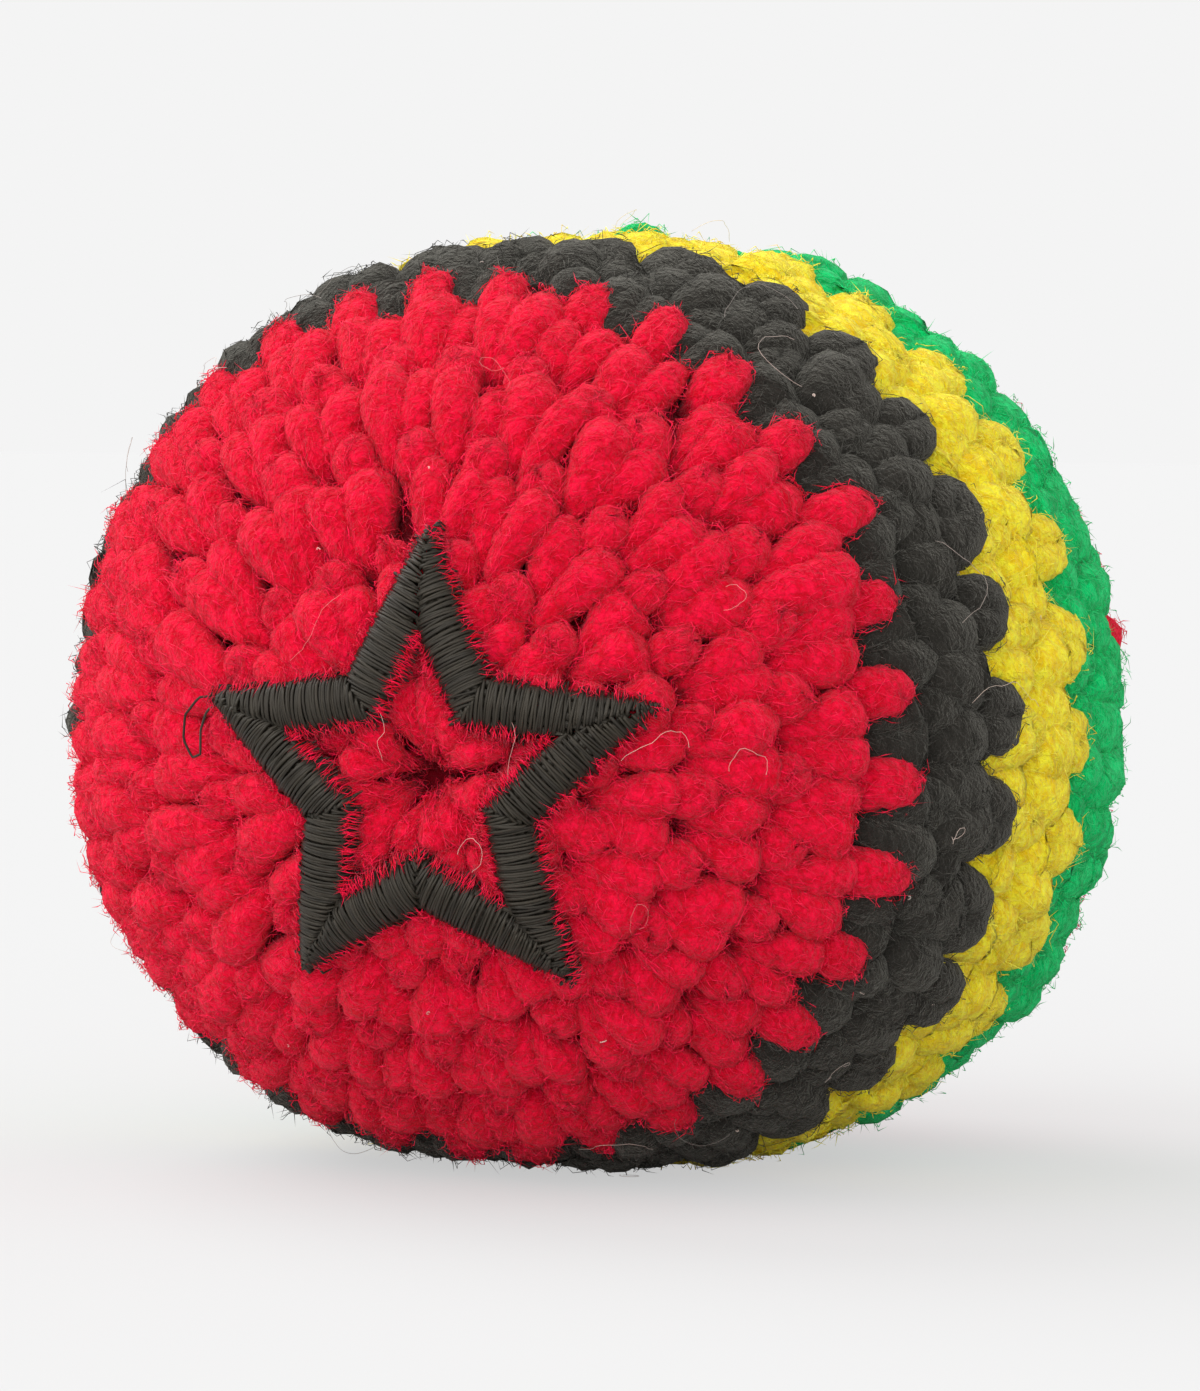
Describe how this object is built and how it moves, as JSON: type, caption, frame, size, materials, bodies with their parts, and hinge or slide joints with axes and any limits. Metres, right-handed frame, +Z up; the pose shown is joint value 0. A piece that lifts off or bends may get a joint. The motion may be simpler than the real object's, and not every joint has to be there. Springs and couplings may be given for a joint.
{
  "type": "footbag",
  "caption": "Crocheted footbag: a soft yarn ball in red, black, yellow and green rounds over a plastic pellet fill, with a stitched star on its front.",
  "frame": {"origin": "under the middle of the bag, on the surface that it rests on", "axes": "+Z up; the crochet axis lies along Y, with the first round and the star facing -Y and the closing knot facing +Y; +X to the right as the front is looked at"},
  "size_m": [0.0558, 0.0573, 0.0504],
  "materials": {
    "red_yarn": "fuzzy acrylic yarn",
    "black_yarn": "fuzzy acrylic yarn",
    "yellow_yarn": "fuzzy acrylic yarn",
    "green_yarn": "fuzzy acrylic yarn",
    "black_thread": "satin-stitched embroidery thread",
    "pellets": "translucent white plastic pellets"
  },
  "bodies": {
    "root": {"red_front_cap": "red_yarn", "black_band": "black_yarn", "yellow_band": "yellow_yarn", "green_band": "green_yarn", "red_back_cap": "red_yarn", "closing_knot": "red_yarn", "star_embroidery": "black_thread", "pellet_fill": "pellets"}
  },
  "joints": []
}
